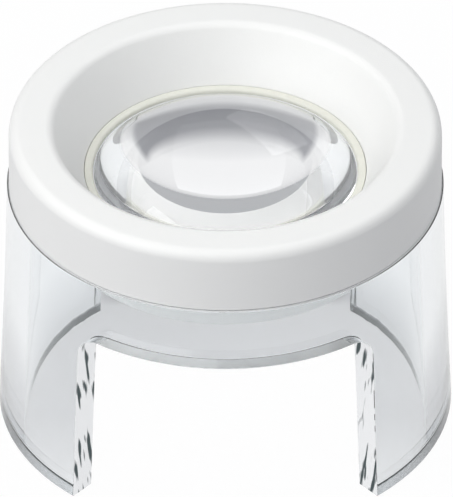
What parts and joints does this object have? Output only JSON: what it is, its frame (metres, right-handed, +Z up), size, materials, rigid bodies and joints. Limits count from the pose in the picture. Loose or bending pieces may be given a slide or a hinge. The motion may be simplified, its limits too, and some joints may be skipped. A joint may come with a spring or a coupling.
{
  "type": "stand magnifier",
  "caption": "Fixed-focus stand magnifier: thick clear lens in a white eyecup collar on a clear flared stand, open front and rear for light and tools.",
  "frame": {"origin": "centre of the footprint on the table, on the optical axis", "axes": "+Z up along the optical axis, -Y out of the front window, +X towards the right leg"},
  "size_m": [0.0494, 0.0472, 0.036],
  "materials": {
    "clear_acrylic": "clear polished acrylic",
    "white_moulding": "fine satin moulded plastic",
    "lens_acrylic": "optically polished clear acrylic",
    "cream_ring": "natural cream moulded plastic"
  },
  "bodies": {
    "root": {"stand": "clear_acrylic", "collar": "white_moulding", "lens": "lens_acrylic", "retaining_ring": "cream_ring"}
  },
  "joints": []
}
